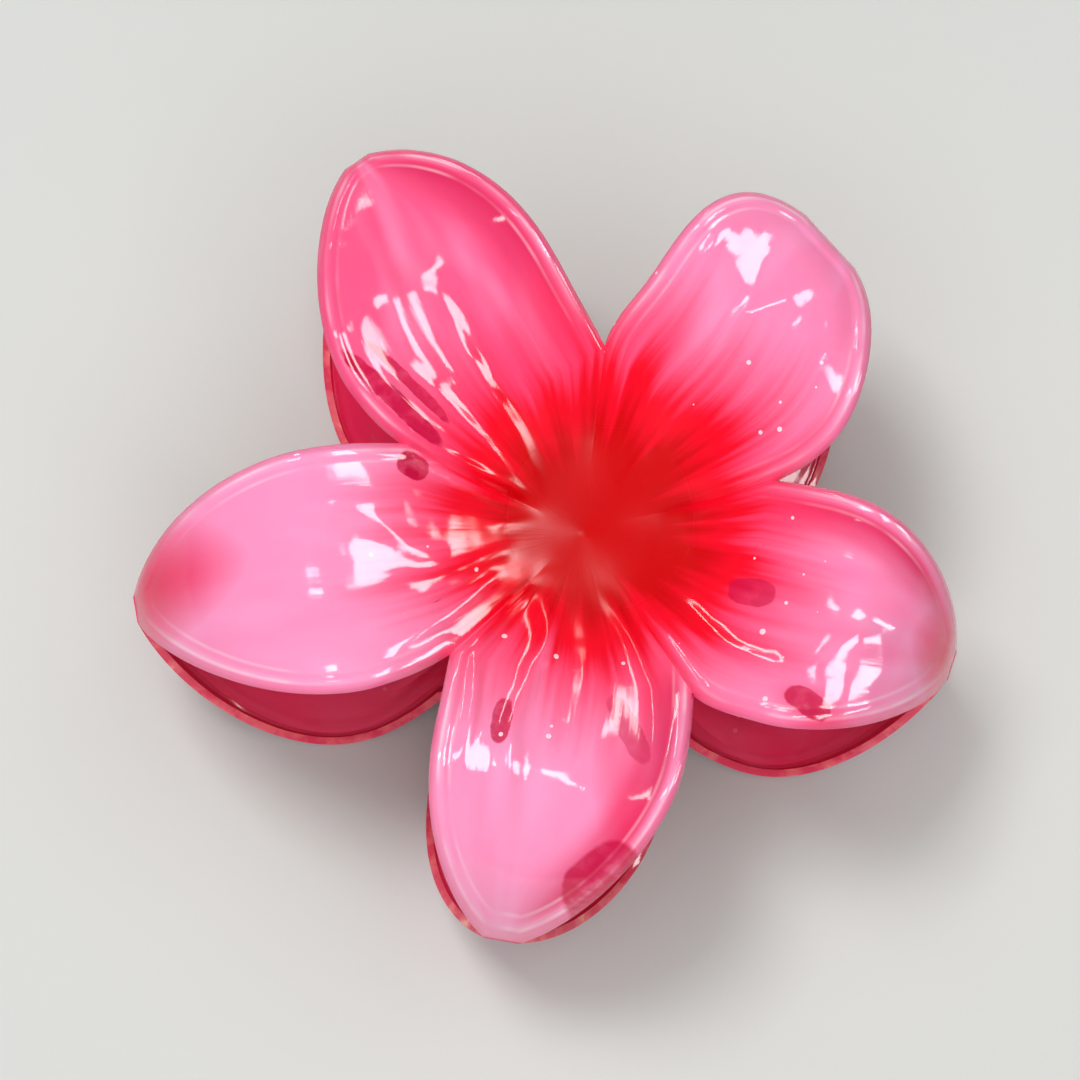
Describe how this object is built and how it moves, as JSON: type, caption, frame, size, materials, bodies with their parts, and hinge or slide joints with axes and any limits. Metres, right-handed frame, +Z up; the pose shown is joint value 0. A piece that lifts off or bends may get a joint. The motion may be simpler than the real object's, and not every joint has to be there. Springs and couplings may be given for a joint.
{
  "type": "flower hair clip",
  "caption": "Claw hair clip made of two glossy five-petal flowers back to back, hinged on a steel pin and closed by a torsion spring.",
  "frame": {"origin": "under the middle of the clip's box, on the surface that it lies on, with the rear flower down", "axes": "+X along the hinge pin, +Y from the jaw petals towards the handle petals, +Z up out of the front flower"},
  "size_m": [0.08, 0.0734, 0.0387],
  "materials": {
    "pink_plastic": "glossy translucent moulding, pink fading from a red throat",
    "red_plastic": "glossy deep red translucent moulding",
    "clear_plastic": "glossy rose translucent moulding",
    "pin_steel": "drawn wire with peened heads",
    "spring_steel": "bright drawn spring wire"
  },
  "bodies": {
    "rear_half": {"rear_petal_upper_left": "pink_plastic", "rear_petal_upper_right": "pink_plastic", "rear_petal_right": "pink_plastic", "rear_petal_bottom": "pink_plastic", "rear_petal_left": "pink_plastic", "rear_throat": "red_plastic", "rear_hinge_lugs": "clear_plastic", "rear_tines": "clear_plastic", "rear_spring_seat": "clear_plastic", "hinge_pin": "pin_steel", "torsion_spring": "spring_steel"},
    "front_half": {"front_petal_upper_left": "pink_plastic", "front_petal_upper_right": "pink_plastic", "front_petal_right": "pink_plastic", "front_petal_bottom": "pink_plastic", "front_petal_left": "pink_plastic", "front_throat": "red_plastic", "front_hinge_lugs": "clear_plastic", "front_tines": "clear_plastic", "front_spring_seat": "clear_plastic"}
  },
  "joints": [
    {"name": "jaw_open", "type": "hinge", "parent": "rear_half", "child": "front_half", "pos_m": [0.00271, 0.01146, 0.01935], "axis": [-1, 0, 0], "range_deg": [0, 45], "stiffness_Nm_per_rad": 0.12, "springref_deg": -34.38, "deforming": ["torsion_spring"]}
  ]
}
